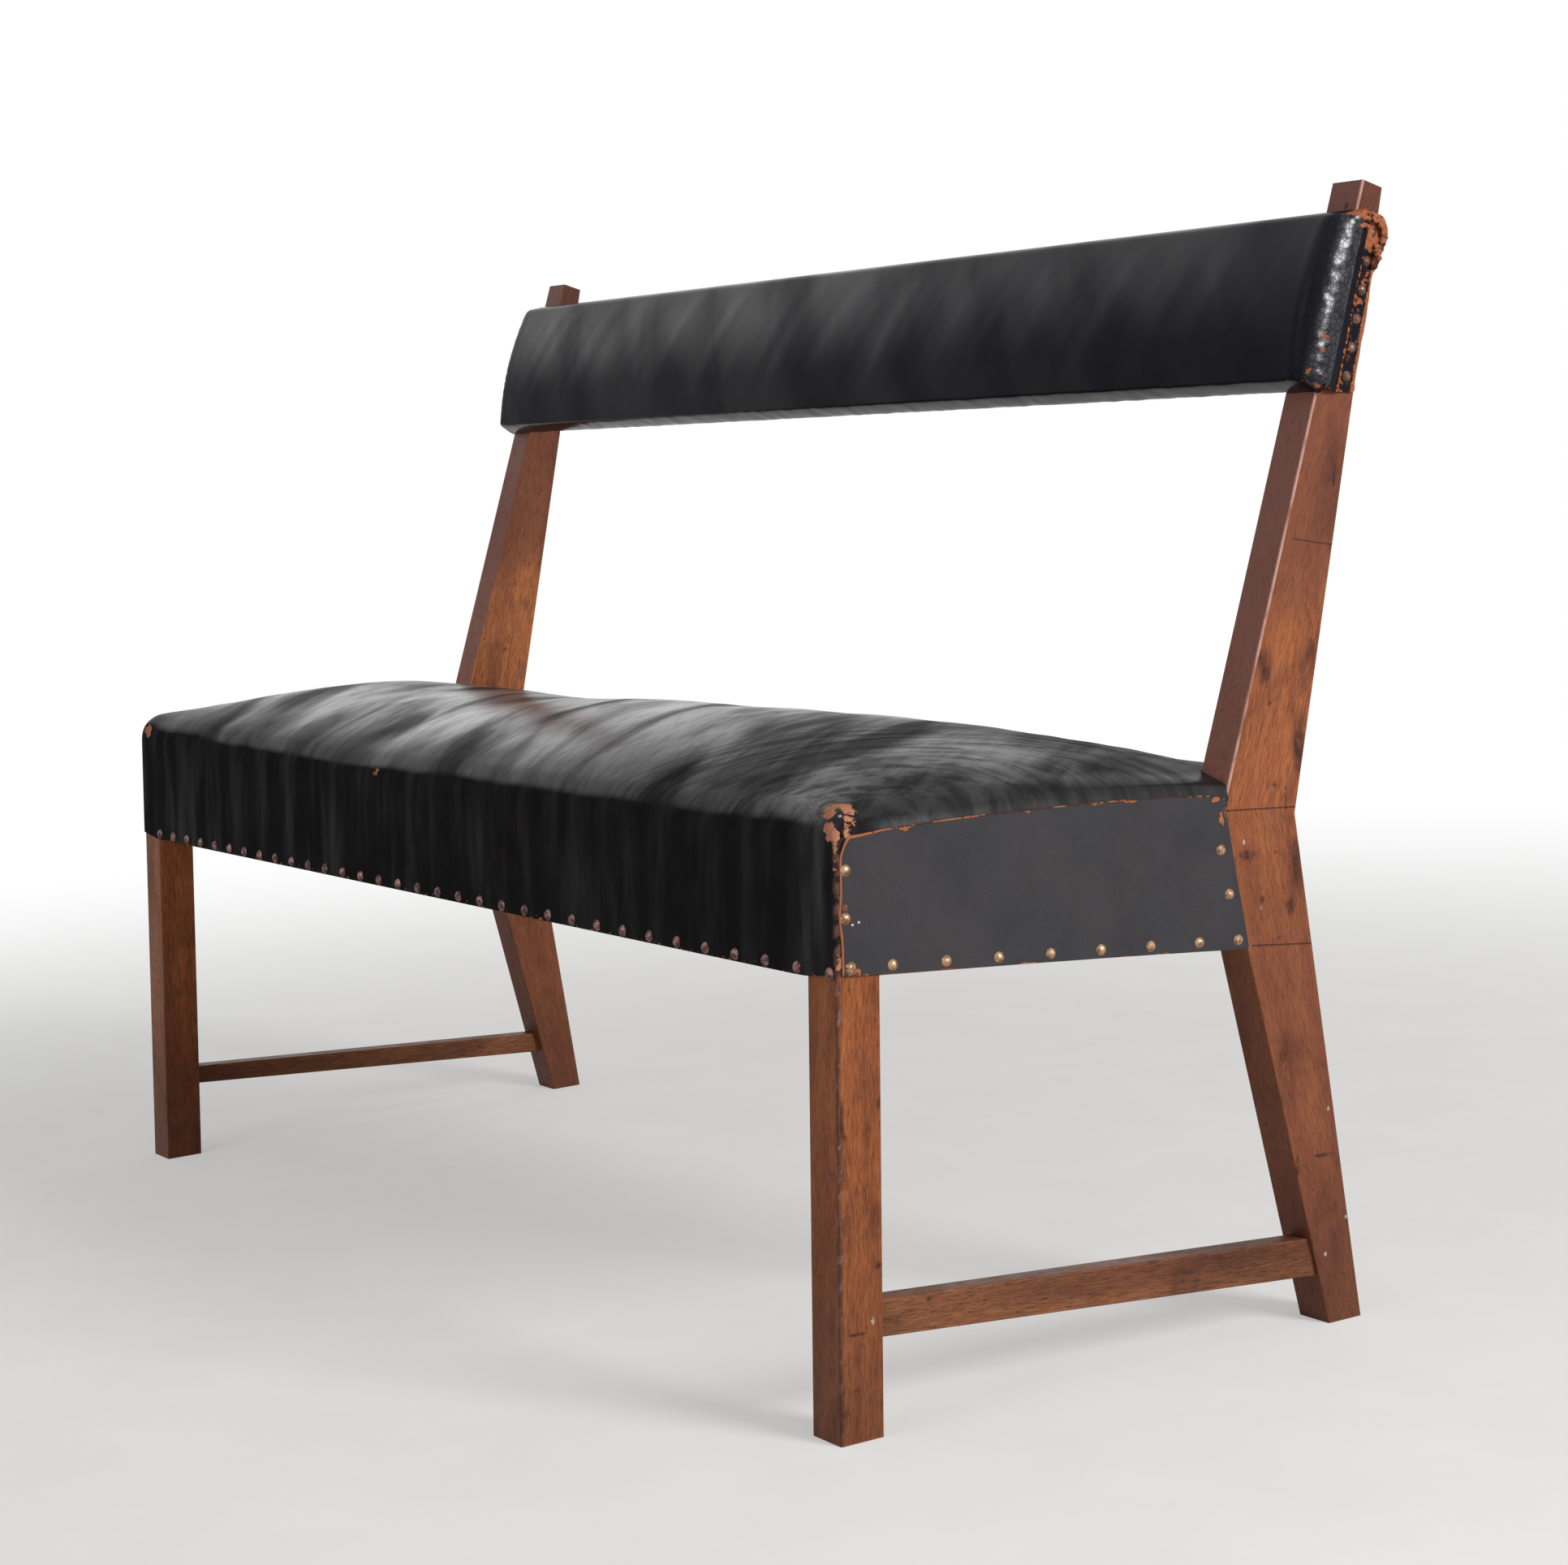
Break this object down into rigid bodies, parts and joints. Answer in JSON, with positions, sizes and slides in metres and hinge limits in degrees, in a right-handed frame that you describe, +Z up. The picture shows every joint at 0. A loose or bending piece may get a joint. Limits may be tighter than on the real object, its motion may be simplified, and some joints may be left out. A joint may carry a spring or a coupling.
{
  "type": "bench",
  "caption": "Upholstered two-seat bench: square front legs, dog-leg rear posts, nailed black leather seat, padded leather back rail and low side stretchers.",
  "frame": {"origin": "on the floor, under the middle of the bounding box", "axes": "+X along the bench to the right as seen from the front, +Y from front to back, +Z up"},
  "size_m": [1.34, 0.5731, 0.9057],
  "materials": {
    "wood": "oiled, worn",
    "frame_wood": "raw",
    "leather": "glossy, worn",
    "side_leather": "matte",
    "nails": "dull",
    "steel": "blued",
    "webbing": "woven jute",
    "hessian": "open weave",
    "stuffing": "fibre pad"
  },
  "bodies": {
    "root": {"front_leg_right": "wood", "front_leg_left": "wood", "rear_post_right": "wood", "rear_post_left": "wood", "side_stretcher_right": "wood", "side_stretcher_left": "wood", "stretcher_pins": "wood", "seat_rail_front": "frame_wood", "seat_rail_rear": "frame_wood", "seat_rail_middle": "frame_wood", "seat_rail_right": "frame_wood", "seat_rail_left": "frame_wood", "corner_blocks": "frame_wood", "back_board": "frame_wood", "seat_cover": "leather", "back_cover": "leather", "side_panel_right": "side_leather", "side_panel_left": "side_leather", "front_nails": "nails", "side_nails_right": "nails", "side_nails_left": "nails", "rear_nails": "nails", "back_nails_right": "nails", "back_nails_left": "nails", "corner_block_screws": "steel", "back_board_screws": "steel", "webbing_tacks": "steel", "back_tacks": "steel", "webbing_cross": "webbing", "webbing_long": "webbing", "hessian": "hessian", "seat_stuffing": "stuffing", "back_stuffing": "stuffing"}
  },
  "joints": []
}
